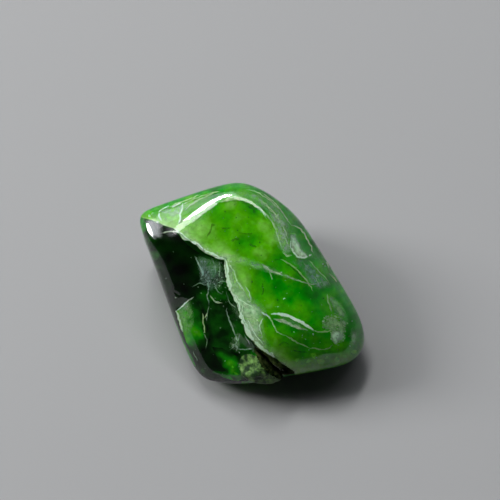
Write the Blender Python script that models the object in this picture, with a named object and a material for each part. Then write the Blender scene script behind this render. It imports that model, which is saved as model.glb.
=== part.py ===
"""One tumbled chrome diopside pebble, modelled in metres and resting on z = 0.

The pebble is a worn, four-cornered chip of crystal: a long axis along X from
the sharp tip (-X) to the round end (+X), a crown facing up, a steeper side
along the near left, and a ground flat underneath that it rests on.  All
distances below are in millimetres from the heart of the stone until MM scales
them.
"""

import math

import bmesh
import bpy
import numpy as np
from mathutils import Matrix, Vector, noise

MM = 0.001

# Worn facets.  Each one is (heading, lean, reach): the compass heading of its
# outward direction in degrees from +X, its lean up from level in degrees, and
# how far out it lies from the heart of the stone.
CROWN_FACETS = [
    (313, 75, 4.25),   # crown, the broad top
    (273, 40, 5.17),   # broad side face that falls away to the near left
    (157, 68, 8.06),   # bevel between the crown and the tip
    (225, 80, 6.04),   # shoulder of the crown above that bevel
    (89, 72, 6.64),    # bevel round the far corner
    (44, 56, 5.48),    # bevel along the right of the crown
    (22, 59, 5.46),    # lower part of the right bevel
    (8, 33, 8.54),     # slope down to the round end
    (313, 38, 6.36),   # first slope down to the near edge
    (314, 14, 8.09),   # second slope down to the near edge
]
GIRDLE_FACETS = [
    (234, -4, 7.26),
    (317, -25, 8.48),
    (65, 5, 6.00),
    (142, 12, 8.24),
    (12, 0, 10.66),
    (93, 12, 6.87),
    (47, -48, 7.54),
    (139, -41, 6.39),
    (231, -45, 7.18),
    (314, -49, 6.71),
    (0, -90, 4.34),
]
CROWN_CRISPNESS = 26.0
GIRDLE_CRISPNESS = 14.0
BASE_GRIND = 0.26

# The tumbled skin is never quite true: long, low swells all over it.
SWELL_HEIGHT = 0.05
SWELL_LENGTH = 3.4

SPHERE_LEVEL = 6
SKIN_TRIANGLES = 4900

# Chips and scars are placed by where they sit on the skin as seen from the
# heart of the stone: (bearing from +X, rise from level), both in degrees.

# Shell-shaped chips along the broken edge between the crown and the side
# face: (bearing, rise, radius across, depth).
EDGE_CHIPS = [
    (193, 29, 0.80, 0.17),
    (194, 33, 0.62, 0.13),
    (197, 34, 1.05, 0.20),
    (203, 38, 0.75, 0.17),
    (206, 42, 1.15, 0.24),
    (226, 44, 2.05, 0.36),
    (216, 47, 0.85, 0.20),
    (230, 49, 0.95, 0.20),
    (250, 41, 1.50, 0.24),
    (262, 34, 0.95, 0.17),
    (271, 29, 1.20, 0.18),
    (281, 20, 1.05, 0.19),
    (289, 16, 0.75, 0.15),
    (295, 10, 1.25, 0.24),
]

# Other worn chips: the chipped tip, the flake scar on the right bevel, the
# dents at the round end, and a few on the sides and below.
SCARS = [
    (190, 23, 0.60, 0.12),
    (187, 27, 0.45, 0.08),
    (199, 19, 0.70, 0.08),
    (62, 39, 1.45, 0.19),
    (54, 32, 0.85, 0.11),
    (356, 10, 0.85, 0.11),
    (344, 2, 0.75, 0.09),
    (26, 35, 0.95, 0.09),
    (120, 12, 1.60, 0.16),
    (152, 6, 1.20, 0.13),
    (40, -8, 1.50, 0.15),
    (216, -12, 1.25, 0.13),
    (75, -28, 1.40, 0.15),
    (300, -26, 1.30, 0.14),
    (170, -14, 1.00, 0.12),
]

# Long scars run from one spot on the skin to another: (bearing, rise,
# bearing, rise, width across, depth).  The first is the shallow lens-shaped
# scar by the round end, the second the step low on the side face.
LONG_SCARS = [
    (325, 31, 354, 8, 1.05, 0.20),
    (237, 4, 239, 26, 0.50, 0.09),
    (110, 34, 82, 42, 0.60, 0.07),
]

# Rough, unpolished knob at the foot of the broken edge, and the crevice that
# parts it from the crown.
KNOB_SPOT = (308, 2)
KNOB_RADII = (1.85, 1.25, 0.42)
KNOB_TURN = 20
KNOB_ROUGHNESS = 0.085
KNOB_GRAIN = 0.85
CRAG_SHAPE = (1.0, 2.0, 3, 1.0, 2.0)
KNOB_LEVEL = 5
KNOB_TRIANGLES = 1500
KNOB_LIE = (1.0, 0.3, -0.4)
CREVICE = (306, 14, 325, -3, 0.28, 0.75)
CREVICE_WANDER = 0.35
CREVICE_WAVES = 3.0

# Small pits left by the tumbling, strewn over the worn skin.
PIT_COUNT = 16
PIT_RADIUS = (0.14, 0.30)
PIT_DEPTH_RATIO = 0.22
PIT_SEED = 11
PIT_TOP = 0.75
PIT_SPAN = 1.15
PIT_RISE_STEP = 0.61803
PIT_SIZE_STEP = 0.7548

# The rim of each chip wanders a little, as broken crystal does.
RIM_WANDER = 0.16
RIM_LENGTH = 0.9
CHIP_LIE = (1.0, 0.3, 0.2)

# Fineness of the cutting solids.
CHIP_LEVEL = 4
SMALL_CHIP_LEVEL = 3
SMALL_CHIP_RADIUS = 0.7
PIT_LEVEL = 3

NUDGE = 0.02
WELD = 0.00001
PLANE_SNAP = 0.000001
GOLDEN_TURN = math.pi * (3.0 - math.sqrt(5.0))

GREEN = (0.016, 0.16, 0.012, 1.0)
GLOSS_ROUGHNESS = 0.06


def outward(heading, lean):
    """Unit vector for a compass heading and a lean up from level."""
    h = math.radians(heading)
    tilt = math.radians(lean)
    level = math.cos(tilt)
    return np.array([math.cos(h) * level, math.sin(h) * level, math.sin(tilt)])


def facet_sum(rays, facets, crispness):
    """Blend of all facets of one group along the rays."""
    total = np.zeros(len(rays))
    for heading, lean, reach in facets:
        toward = np.maximum(rays @ outward(heading, lean), 0.0)
        total += (toward / reach) ** crispness
    return total


def skin_reach(rays):
    """Distance from the heart of the stone to its skin along unit rays."""
    crown = facet_sum(rays, CROWN_FACETS, CROWN_CRISPNESS)
    girdle = facet_sum(rays, GIRDLE_FACETS, GIRDLE_CRISPNESS)
    blend = crown ** (GIRDLE_CRISPNESS / CROWN_CRISPNESS) + girdle
    return blend ** (-1.0 / GIRDLE_CRISPNESS)


def new_object(name, bm):
    """Object holding the given mesh, linked into the scene."""
    mesh = bpy.data.meshes.new(name)
    bm.to_mesh(mesh)
    bm.free()
    obj = bpy.data.objects.new(name, mesh)
    bpy.context.scene.collection.objects.link(obj)
    return obj


def freeze(obj):
    """Replace the object's mesh by the result of its modifiers."""
    graph = bpy.context.evaluated_depsgraph_get()
    solved = bpy.data.meshes.new_from_object(obj.evaluated_get(graph))
    obj.modifiers.clear()
    old = obj.data
    obj.data = solved
    bpy.data.meshes.remove(old)


def combine(body, tool, operation):
    """Add or take away the tool solid, then drop the tool."""
    step = body.modifiers.new("shape", "BOOLEAN")
    step.operation = operation
    step.solver = "EXACT"
    step.object = tool
    freeze(body)
    mesh = tool.data
    bpy.data.objects.remove(tool)
    bpy.data.meshes.remove(mesh)


def as_guide(obj):
    """Mark a cutting solid so that it is never part of the result."""
    obj.hide_render = True
    obj.display_type = "WIRE"
    return obj


def worn_skin(name):
    """Closed skin of the pebble before any chip is taken out."""
    bm = bmesh.new()
    bmesh.ops.create_icosphere(bm, subdivisions=SPHERE_LEVEL, radius=1.0)
    rays = np.array([v.co.normalized() for v in bm.verts])
    reach = skin_reach(rays)
    for vert, ray, far in zip(bm.verts, rays, reach):
        spot = Vector(ray) * float(far)
        swell = noise.noise(spot / SWELL_LENGTH) * SWELL_HEIGHT
        vert.co = (spot + Vector(ray) * swell) * MM
    body = new_object(name, bm)
    thin = body.modifiers.new("thin", "DECIMATE")
    thin.ratio = SKIN_TRIANGLES / len(body.data.polygons)
    freeze(body)
    return body


def grind_base(body):
    """Cut the underside off level so that the stone has a flat to rest on."""
    bm = bmesh.new()
    bm.from_mesh(body.data)
    low = min(v.co.z for v in bm.verts) + BASE_GRIND * MM
    cut = bmesh.ops.bisect_plane(
        bm,
        geom=bm.verts[:] + bm.edges[:] + bm.faces[:],
        dist=PLANE_SNAP,
        plane_co=(0.0, 0.0, low),
        plane_no=(0.0, 0.0, -1.0),
        clear_outer=True,
    )
    rim = [e for e in cut["geom_cut"] if isinstance(e, bmesh.types.BMEdge)]
    for edge in rim:
        for vert in edge.verts:
            vert.co.z = low
    bmesh.ops.contextual_create(bm, geom=rim)
    bm.to_mesh(body.data)
    bm.free()


def skin_spot(bearing, rise):
    """Point on the skin in a direction from the heart, and its outward normal."""
    ray = outward(bearing, rise)
    slope = []
    for axis in np.eye(3):
        fore = ray + axis * NUDGE
        back = ray - axis * NUDGE
        fore /= np.linalg.norm(fore)
        back /= np.linalg.norm(back)
        slope.append(skin_reach(fore[None])[0] - skin_reach(back[None])[0])
    reach = skin_reach(ray[None])[0]
    normal = ray - np.array(slope) / (2.0 * NUDGE * reach)
    normal /= np.linalg.norm(normal)
    return Vector(ray * reach), Vector(normal)


def frame_on(spot, normal, along):
    """Placement with Z along the normal and X as near as may be to 'along'."""
    z_way = normal.normalized()
    x_way = (along - z_way * along.dot(z_way)).normalized()
    y_way = z_way.cross(x_way)
    turn = Matrix((x_way, y_way, z_way)).transposed().to_4x4()
    return Matrix.Translation(spot * MM) @ turn


def bowl(body, spot, normal, along, radii, depth, level):
    """Sink one shallow, shell-shaped bowl into the skin."""
    across = radii[0]
    ball = (across * across + depth * depth) / (2.0 * depth)
    bm = bmesh.new()
    bmesh.ops.create_icosphere(bm, subdivisions=level, radius=1.0)
    for vert in bm.verts:
        way = vert.co.normalized()
        wander = noise.noise((way * ball + spot) / RIM_LENGTH) * RIM_WANDER * depth
        place = way * (ball + wander) + Vector((0.0, 0.0, ball - depth))
        vert.co = Vector((place.x, place.y * radii[1] / across, place.z)) * MM
    bmesh.ops.transform(bm, matrix=frame_on(spot, normal, along), verts=bm.verts)
    combine(body, as_guide(new_object("bowl", bm)), "DIFFERENCE")


def chip(body, bearing, rise, radius, depth, level):
    """Take one round chip out of the skin."""
    spot, normal = skin_spot(bearing, rise)
    bowl(body, spot, normal, Vector(CHIP_LIE), (radius, radius), depth, level)


def long_scar(body, row):
    """Take one long, shallow scar out of the skin."""
    start = skin_spot(row[0], row[1])[0]
    end = skin_spot(row[2], row[3])[0]
    toward = (start + end).normalized()
    bearing = math.degrees(math.atan2(toward.y, toward.x))
    middle, normal = skin_spot(bearing, math.degrees(math.asin(toward.z)))
    half = (end - start).length / 2.0
    bowl(body, middle, normal, end - start, (half, row[4]), row[5], CHIP_LEVEL)


def crevice(body):
    """Cut the narrow, deep crevice beside the rough knob."""
    start, first = skin_spot(CREVICE[0], CREVICE[1])
    end, last = skin_spot(CREVICE[2], CREVICE[3])
    half = (end - start).length / 2.0
    width, depth = CREVICE[4:]
    bm = bmesh.new()
    bmesh.ops.create_icosphere(bm, subdivisions=CHIP_LEVEL, radius=1.0)
    for vert in bm.verts:
        way = vert.co.normalized()
        wander = 1.0 + noise.noise(way * CREVICE_WAVES) * CREVICE_WANDER
        vert.co = Vector((way.x * half, way.y * width * wander, way.z * depth)) * MM
    place = frame_on((start + end) / 2.0, first + last, end - start)
    bmesh.ops.transform(bm, matrix=place, verts=bm.verts)
    combine(body, as_guide(new_object("crevice", bm)), "DIFFERENCE")


def knob(body):
    """Grow the rough knob out of the foot of the broken edge."""
    spot, normal = skin_spot(*KNOB_SPOT)
    side = Matrix.Rotation(math.radians(KNOB_TURN), 3, normal) @ Vector(KNOB_LIE)
    bm = bmesh.new()
    bmesh.ops.create_icosphere(bm, subdivisions=KNOB_LEVEL, radius=1.0)
    for vert in bm.verts:
        way = vert.co.normalized()
        place = Vector([w * r for w, r in zip(way, KNOB_RADII)])
        crags = noise.ridged_multi_fractal(place / KNOB_GRAIN, *CRAG_SHAPE)
        place += way * (crags - 1.0) * KNOB_ROUGHNESS
        vert.co = place * MM
    bmesh.ops.transform(bm, matrix=frame_on(spot, normal, side), verts=bm.verts)
    lump = new_object("lump", bm)
    thin = lump.modifiers.new("thin", "DECIMATE")
    thin.ratio = KNOB_TRIANGLES / len(lump.data.polygons)
    freeze(lump)
    combine(body, as_guide(lump), "UNION")


def pits(body):
    """Strew small pits over the upper part of the skin."""
    for count in range(PIT_COUNT):
        index = PIT_SEED + count
        tall = PIT_TOP - PIT_SPAN * ((index * PIT_RISE_STEP) % 1.0)
        bearing = math.degrees(index * GOLDEN_TURN) % 360.0
        rise = math.degrees(math.asin(tall))
        share = (index * PIT_SIZE_STEP) % 1.0
        radius = PIT_RADIUS[0] + share * (PIT_RADIUS[1] - PIT_RADIUS[0])
        chip(body, bearing, rise, radius, radius * PIT_DEPTH_RATIO, PIT_LEVEL)


def settle(body):
    """Put the base on z = 0 with the stone centred over the origin."""
    corners = np.array([v.co for v in body.data.vertices])
    low = corners.min(axis=0)
    high = corners.max(axis=0)
    middle = (low + high) / 2.0
    shift = Vector((-middle[0], -middle[1], -low[2]))
    body.data.transform(Matrix.Translation(shift))


def clean(body):
    """Weld stray slivers and turn every face into triangles."""
    bm = bmesh.new()
    bm.from_mesh(body.data)
    bmesh.ops.remove_doubles(bm, verts=bm.verts, dist=WELD)
    bmesh.ops.dissolve_degenerate(bm, edges=bm.edges, dist=WELD)
    bmesh.ops.triangulate(bm, faces=bm.faces)
    bmesh.ops.recalc_face_normals(bm, faces=bm.faces)
    for face in bm.faces:
        face.smooth = True
    bm.to_mesh(body.data)
    bm.free()


def green_glass():
    """Deep green, glossy, see-through stone."""
    mat = bpy.data.materials.new("diopside_green")
    mat.use_nodes = True
    shader = mat.node_tree.nodes["Principled BSDF"]
    shader.inputs["Base Color"].default_value = GREEN
    shader.inputs["Roughness"].default_value = GLOSS_ROUGHNESS
    shader.inputs["Metallic"].default_value = 0.0
    return mat


for old in list(bpy.data.objects):
    bpy.data.objects.remove(old)

stone = worn_skin("diopside_pebble")
grind_base(stone)
knob(stone)
crevice(stone)
for bearing, rise, radius, depth in EDGE_CHIPS + SCARS:
    fine = CHIP_LEVEL if radius > SMALL_CHIP_RADIUS else SMALL_CHIP_LEVEL
    chip(stone, bearing, rise, radius, depth, fine)
for row in LONG_SCARS:
    long_scar(stone, row)
pits(stone)
settle(stone)
clean(stone)
stone.data.materials.clear()
stone.data.materials.append(green_glass())
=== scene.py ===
"""Looks of the tumbled chrome diopside pebble: polished skin, green body and inner cracks."""

import math

import bpy
import numpy as np
from mathutils import Matrix, Vector, noise
from mathutils.geometry import delaunay_2d_cdt


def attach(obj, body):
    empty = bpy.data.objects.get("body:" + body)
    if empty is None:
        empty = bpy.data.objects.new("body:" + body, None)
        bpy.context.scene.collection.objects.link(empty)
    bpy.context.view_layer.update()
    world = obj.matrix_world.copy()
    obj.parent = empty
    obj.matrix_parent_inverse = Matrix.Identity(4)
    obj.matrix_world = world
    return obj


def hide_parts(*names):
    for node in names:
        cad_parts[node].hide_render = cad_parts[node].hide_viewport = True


NODE = "diopside_pebble"
MM = 0.001

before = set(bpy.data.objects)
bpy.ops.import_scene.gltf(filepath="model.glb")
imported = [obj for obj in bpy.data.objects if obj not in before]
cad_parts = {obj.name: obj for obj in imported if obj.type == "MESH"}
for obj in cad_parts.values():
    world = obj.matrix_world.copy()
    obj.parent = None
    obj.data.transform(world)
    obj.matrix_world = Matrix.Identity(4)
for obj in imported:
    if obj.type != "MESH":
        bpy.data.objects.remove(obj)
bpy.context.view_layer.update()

# The skin has the same worn facets, chips and knob as the solid, in millimetres
# from the heart of the stone: (heading, lean, reach) and (bearing, rise, radius, depth).
CROWN_FACETS = [
    (313, 75, 4.25), (273, 40, 5.17), (157, 68, 8.06), (225, 80, 6.04), (89, 72, 6.64),
    (44, 56, 5.48), (22, 59, 5.46), (8, 33, 8.54), (313, 38, 6.36), (314, 14, 8.09),
]
GIRDLE_FACETS = [
    (234, -4, 7.26), (317, -25, 8.48), (65, 5, 6.00), (142, 12, 8.24), (12, 0, 10.66),
    (93, 12, 6.87), (47, -48, 7.54), (139, -41, 6.39), (231, -45, 7.18), (314, -49, 6.71),
    (0, -90, 4.34),
]
CROWN_CRISPNESS = 26.0
GIRDLE_CRISPNESS = 14.0
BASE_GRIND = 0.26
SWELL_HEIGHT = 0.05
SWELL_LENGTH = 3.4
EDGE_CHIPS = [
    (206, 42, 0.95, 0.07), (226, 44, 1.85, 0.16), (216, 47, 0.75, 0.07), (230, 49, 0.85, 0.08),
    (250, 41, 1.35, 0.10), (262, 34, 0.80, 0.06), (271, 29, 1.05, 0.07), (281, 20, 0.90, 0.07),
    (289, 16, 0.60, 0.06), (295, 10, 1.15, 0.12),
]
SCARS = [
    (190, 23, 0.60, 0.12), (187, 27, 0.45, 0.08), (199, 19, 0.70, 0.08), (62, 39, 1.45, 0.19),
    (54, 32, 0.85, 0.11), (356, 10, 0.85, 0.11), (344, 2, 0.75, 0.09), (26, 35, 0.95, 0.09),
    (120, 12, 1.60, 0.16), (152, 6, 1.20, 0.13), (40, -8, 1.50, 0.15), (216, -12, 1.25, 0.13),
    (75, -28, 1.40, 0.15), (300, -26, 1.30, 0.14), (170, -14, 1.00, 0.12),
]
# Long scars and the crevice run from one (bearing, rise) to another, and then
# have a half width and a depth.
LONG_SCARS = [
    (325, 31, 354, 8, 1.05, 0.20), (237, 4, 239, 26, 0.50, 0.09), (110, 34, 82, 42, 0.60, 0.07),
]
KNOB_SPOT = (308, 2)
KNOB_RADII = (1.85, 1.25, 0.42)
KNOB_TURN = 20
KNOB_LIE = (1.0, 0.3, -0.4)
KNOB_ROUGHNESS = 0.085
KNOB_GRAIN = 0.85
CRAG_SHAPE = (1.0, 2.0, 3, 1.0, 2.0)
CRUMB_RISE = 0.045
CRUMB_SIZE = 0.16
CREVICE = (306, 14, 325, -3, 0.19, 0.70)
CHIP_LIE = np.array([1.0, 0.3, 0.2])
RIM_WANDER = 0.16
RIM_LENGTH = 0.9
# The knob and the bowls are worked out where they come this near the skin.
KNOB_MARGIN = 0.3
BOWL_MARGIN = 0.1
# The knob and the crevice count where they change the skin by more than this.
KNOB_SHOWS = 0.015
CREVICE_SHOWS = 0.03
# Rays that point down more than this can meet the ground flat.
GROUND_LEAN = -0.05
PIT_COUNT = 16
PIT_RADIUS = (0.14, 0.30)
PIT_DEPTH_RATIO = 0.22
PIT_SEED = 11
# The pits lie between two heights, given as sines: the top one and the way down.
PIT_TOP = 0.75
PIT_SPAN = 1.15
# A turn and steps whose multiples fill a circle, or 0 to 1, evenly.
GOLDEN_TURN = math.pi * (3.0 - math.sqrt(5.0))
GOLDEN_STEP = 0.61803
PLASTIC_STEP = 0.7548
NUDGE = 0.02

# Mesh cells along each side of the six patches of the skin.
PATCH_CELLS = 118
SPREAD = np.array([1.5, 1.2, 0.85])
RIM_SOFTNESS = 0.02


def unit(ways):
    return ways / np.linalg.norm(ways, axis=-1, keepdims=True)


def outward(heading, lean):
    """Unit way out in a compass heading, leaning up by an angle."""
    h = math.radians(heading)
    tilt = math.radians(lean)
    return np.array([math.cos(h) * math.cos(tilt), math.sin(h) * math.cos(tilt), math.sin(tilt)])


def facet_sum(rays, facets, crispness):
    total = np.zeros(len(rays))
    for heading, lean, reach in facets:
        total += (np.maximum(rays @ outward(heading, lean), 0.0) / reach) ** crispness
    return total


def fullness(spots):
    """Under 1 inside the worn skin, over 1 outside it."""
    crown = facet_sum(spots, CROWN_FACETS, CROWN_CRISPNESS)
    girdle = facet_sum(spots, GIRDLE_FACETS, GIRDLE_CRISPNESS)
    return crown ** (GIRDLE_CRISPNESS / CROWN_CRISPNESS) + girdle


def skin_reach(rays):
    """Distance from the heart to the worn skin along unit rays."""
    return fullness(rays) ** (-1.0 / GIRDLE_CRISPNESS)


def skin_spot(bearing, rise):
    """Point on the skin in a direction from the heart, and its outward normal."""
    ray = outward(bearing, rise)
    slope = []
    for axis in np.eye(3):
        fore = unit(ray + axis * NUDGE)
        back = unit(ray - axis * NUDGE)
        slope.append(skin_reach(fore[None])[0] - skin_reach(back[None])[0])
    reach = skin_reach(ray[None])[0]
    return ray * reach, unit(ray - np.array(slope) / (2.0 * NUDGE * reach))


def axes_on(normal, along):
    """Rows are the X, Y and Z ways of a frame whose Z is the normal."""
    z_way = unit(normal)
    x_way = unit(along - z_way * (along @ z_way))
    return np.array([x_way, np.cross(z_way, x_way), z_way])


def ellipsoid_hits(rays, middle, axes, radii):
    """Near and far distances at which rays from the heart meet an ellipsoid."""
    start = -(axes @ middle) / radii
    ways = (rays @ axes.T) / radii
    a = (ways**2).sum(1)
    b = (ways * start).sum(1)
    c = (start**2).sum() - 1.0
    inner = b * b - a * c
    root = np.sqrt(np.maximum(inner, 0.0))
    return inner > 0.0, (-b - root) / a, (-b + root) / a


def soft_min(a, b, blend):
    """Lower of the two with a small rounded meeting line."""
    mix = np.clip(0.5 + 0.5 * (b - a) / blend, 0.0, 1.0)
    return b * (1.0 - mix) + a * mix - blend * mix * (1.0 - mix)


def sink_bowl(rays, reach, spot, normal, along, radii, depth):
    """Sink one shell-shaped bowl into the skin, its rim wandering a little."""
    across = radii[0]
    ball = (across**2 + depth**2) / (2.0 * depth)
    middle = spot + normal * (ball - depth)
    axes = axes_on(normal, along)
    size = np.array([ball, ball * radii[1] / across, ball])
    hit, near, far = ellipsoid_hits(rays, middle, axes, size)
    close = hit & (near < reach + BOWL_MARGIN) & (near > 0.0)
    for i in np.flatnonzero(close):
        way = (axes @ (rays[i] * near[i] - middle)) / size
        near[i] -= noise.noise(Vector(way * ball + spot) / RIM_LENGTH) * RIM_WANDER * depth
    out = reach.copy()
    out[close] = soft_min(reach[close], near[close], RIM_SOFTNESS)
    return out


def sink_chip(rays, reach, bearing, rise, radius, depth):
    spot, normal = skin_spot(bearing, rise)
    return sink_bowl(rays, reach, spot, normal, CHIP_LIE, (radius, radius), depth)


def sink_long_scar(rays, reach, row):
    start = skin_spot(row[0], row[1])[0]
    end = skin_spot(row[2], row[3])[0]
    way = unit(start + end)
    bearing = math.degrees(math.atan2(way[1], way[0]))
    middle, normal = skin_spot(bearing, math.degrees(math.asin(way[2])))
    half = np.linalg.norm(end - start) / 2.0
    return sink_bowl(rays, reach, middle, normal, end - start, (half, row[4]), row[5])


def add_knob(rays, reach):
    """Raise the rough, unpolished knob at the foot of the broken edge."""
    spot, normal = skin_spot(*KNOB_SPOT)
    lie = Matrix.Rotation(math.radians(KNOB_TURN), 3, Vector(normal)) @ Vector(KNOB_LIE)
    axes = axes_on(normal, np.array(lie))
    radii = np.array(KNOB_RADII)
    hit, near, far = ellipsoid_hits(rays, spot, axes, radii)
    out = reach.copy()
    for i in np.flatnonzero(hit & (far > reach - KNOB_MARGIN)):
        way = axes @ (rays[i] * far[i] - spot)
        crags = noise.ridged_multi_fractal(Vector(way) / KNOB_GRAIN, *CRAG_SHAPE) - 1.0
        crumbs = noise.noise(Vector(way) / CRUMB_SIZE) * CRUMB_RISE
        out[i] = max(reach[i], far[i] + crags * KNOB_ROUGHNESS + crumbs)
    return out


def cut_crevice(rays, reach):
    """Cut the narrow crevice beside the knob."""
    start, first = skin_spot(CREVICE[0], CREVICE[1])
    end, last = skin_spot(CREVICE[2], CREVICE[3])
    half = np.linalg.norm(end - start) / 2.0
    axes = axes_on(first + last, end - start)
    radii = np.array([half, CREVICE[4], CREVICE[5]])
    hit, near, far = ellipsoid_hits(rays, (start + end) / 2.0, axes, radii)
    close = hit & (near > 0.0) & (near < reach)
    out = reach.copy()
    out[close] = near[close]
    return out


def pit_rows():
    """Bearing, rise, radius and depth of each small tumbling pit."""
    for index in range(PIT_SEED, PIT_SEED + PIT_COUNT):
        tall = PIT_TOP - PIT_SPAN * ((index * GOLDEN_STEP) % 1.0)
        bearing = math.degrees(index * GOLDEN_TURN) % 360.0
        share = (index * PLASTIC_STEP) % 1.0
        radius = PIT_RADIUS[0] + share * (PIT_RADIUS[1] - PIT_RADIUS[0])
        yield bearing, math.degrees(math.asin(tall)), radius, radius * PIT_DEPTH_RATIO


def patch_rays(n):
    """Directions of a netted box blown up to an oval, n cells a side, and its faces."""
    steps = np.tan(np.linspace(-math.pi / 4.0, math.pi / 4.0, n + 1))
    a, b = np.meshgrid(steps, steps, indexing="ij")
    ids = np.arange(a.size).reshape(a.shape)
    quads = np.stack([ids[:-1, :-1], ids[1:, :-1], ids[1:, 1:], ids[:-1, 1:]], -1).reshape(-1, 4)
    corners, faces = [], []
    for side in range(3):
        for sign in (1.0, -1.0):
            net = np.full((*a.shape, 3), sign)
            net[..., (side + 1) % 3] = a if sign > 0 else b
            net[..., (side + 2) % 3] = b if sign > 0 else a
            faces.append(quads + len(corners) * ids.size)
            corners.append(net.reshape(-1, 3))
    corners = np.concatenate(corners)
    keys = np.round(corners, 9)
    _, first, back = np.unique(keys, axis=0, return_index=True, return_inverse=True)
    return unit(unit(corners[first]) * SPREAD), back.reshape(-1)[np.concatenate(faces)]


def swollen_reach(rays):
    """Distance from the heart to the gently uneven skin along unit rays."""
    reach = skin_reach(rays)
    spots = rays * reach[:, None] / SWELL_LENGTH
    return reach + np.array([noise.noise(Vector(p)) for p in spots]) * SWELL_HEIGHT


def stone_reach(rays):
    """Distance from the heart to the chipped, ground stone along unit rays."""
    reach = swollen_reach(rays)
    down = rays[:, 2] < GROUND_LEAN
    reach[down] = np.minimum(reach[down], GROUND / rays[down, 2])
    smooth = reach
    reach = add_knob(rays, reach)
    knob = reach > smooth + KNOB_SHOWS
    raised = reach
    reach = cut_crevice(rays, reach)
    crevice = reach < raised - CREVICE_SHOWS
    for row in EDGE_CHIPS + SCARS:
        reach = sink_chip(rays, reach, *row)
    for row in LONG_SCARS:
        reach = sink_long_scar(rays, reach, row)
    for row in pit_rows():
        reach = sink_chip(rays, reach, *row)
    return reach, knob, crevice


def add_object(name, held):
    """Object in the scene that holds a mesh, a lamp or the camera."""
    obj = bpy.data.objects.new(name, held)
    bpy.context.scene.collection.objects.link(obj)
    return obj


def add_mesh(name, points, faces, material, marks=None):
    """Smooth mesh piece from points in millimetres, riding on the stone's body."""
    faces = np.array([tuple(f) for f in faces])
    whole = np.isfinite(points).all(1)
    faces = faces[whole[faces].all(1)]
    used, flat = np.unique(faces, return_inverse=True)
    faces = flat.reshape(faces.shape)
    spots = (points[used] + HEART) * MM
    mesh = bpy.data.meshes.new(name)
    mesh.from_pydata(spots.tolist(), [], faces.tolist())
    mesh.polygons.foreach_set("use_smooth", [True] * len(mesh.polygons))
    for mark, values in (marks or {}).items():
        layer = mesh.attributes.new(mark, "FLOAT", "POINT")
        layer.data.foreach_set("value", np.asarray(values, float)[used])
    mesh.update()
    mesh.materials.append(material)
    obj = add_object(name, mesh)
    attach(obj, "root")
    return obj


rays, faces = patch_rays(PATCH_CELLS)
GROUND = (rays[:, 2] * swollen_reach(rays)).min() + BASE_GRIND
reach, on_knob, in_crevice = stone_reach(rays)
points = rays * reach[:, None]
low, high = points.min(0), points.max(0)
HEART = np.array([-(low[0] + high[0]) / 2.0, -(low[1] + high[1]) / 2.0, -low[2]])

# The materials


def principled(name, roughness=0.5):
    """New material of one roughness, with its node tree and shader."""
    mat = bpy.data.materials.new(name)
    mat.use_nodes = True
    shader = mat.node_tree.nodes["Principled BSDF"]
    shader.inputs["Roughness"].default_value = roughness
    return mat, mat.node_tree, shader


def feed(node, **inputs):
    """Set inputs that the words name, or link those given another node's output."""
    for label, value in inputs.items():
        socket = node.inputs[label.replace("_", " ")]
        if isinstance(value, bpy.types.NodeSocket):
            node.id_data.links.new(value, socket)
        else:
            socket.default_value = value
    return node


def add_node(tree, kind, **inputs):
    return feed(tree.nodes.new("ShaderNode" + kind), **inputs)


def noise_on(tree, scale, detail, roughness=0.5):
    """Noise that is fixed to the stone, with about scale cells to the metre."""
    spot = add_node(tree, "TexCoord").outputs["Object"]
    grain = add_node(tree, "TexNoise", Vector=spot, Scale=scale, Detail=detail, Roughness=roughness)
    return grain.outputs["Fac"]


def mapped(tree, value, start, end, first, last, ease="LINEAR"):
    """Bring a value from the range start to end into the range first to last."""
    ends = {"From_Min": start, "From_Max": end, "To_Min": first, "To_Max": last}
    node = add_node(tree, "MapRange", Value=value, **ends)
    node.interpolation_type = ease
    return node.outputs["Result"]


def combined(tree, kind, a, b):
    """Sum or product of two values."""
    both = add_node(tree, "Math")
    both.operation = kind
    tree.links.new(a, both.inputs[0])
    tree.links.new(b, both.inputs[1])
    return both.outputs["Value"]


def mark_of(tree, mark):
    """Value that a piece has at each of its points."""
    reader = add_node(tree, "Attribute")
    reader.attribute_name = mark
    return reader.outputs["Fac"]


def add_bump(tree, shader, scale, strength, reach):
    """Small relief from noise, whose output is handed back."""
    height = noise_on(tree, scale, 5.0)
    bump = add_node(tree, "Bump", Height=height, Strength=strength, Distance=reach)
    feed(shader, Normal=bump.outputs["Normal"])
    return height


INDEX = 1.68
GLASS_COLOUR = (0.66, 0.917, 0.20, 1.0)
GLASS_DENSITY = 4000.0
POLISH = (0.012, 0.06)
# Relief: cells to the metre, strength and height in metres.
GLASS_RELIEF = (900.0, 0.10, 0.00003)
BREAK_RELIEF = (3500.0, 0.6, 0.00006)


def body_glass():
    """Clear green crystal: plain transmission, index and absorption."""
    mat, tree, shader = principled("diopside_body")
    shader.inputs["Base Color"].default_value = (1.0, 1.0, 1.0, 1.0)
    shader.inputs["IOR"].default_value = INDEX
    shader.inputs["Transmission Weight"].default_value = 1.0
    height = add_bump(tree, shader, *GLASS_RELIEF)
    feed(shader, Roughness=mapped(tree, height, 0.35, 0.75, *POLISH))
    volume = add_node(tree, "VolumeAbsorption", Color=GLASS_COLOUR, Density=GLASS_DENSITY)
    feed(tree.nodes["Material Output"], Volume=volume.outputs["Volume"])
    return mat


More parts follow.
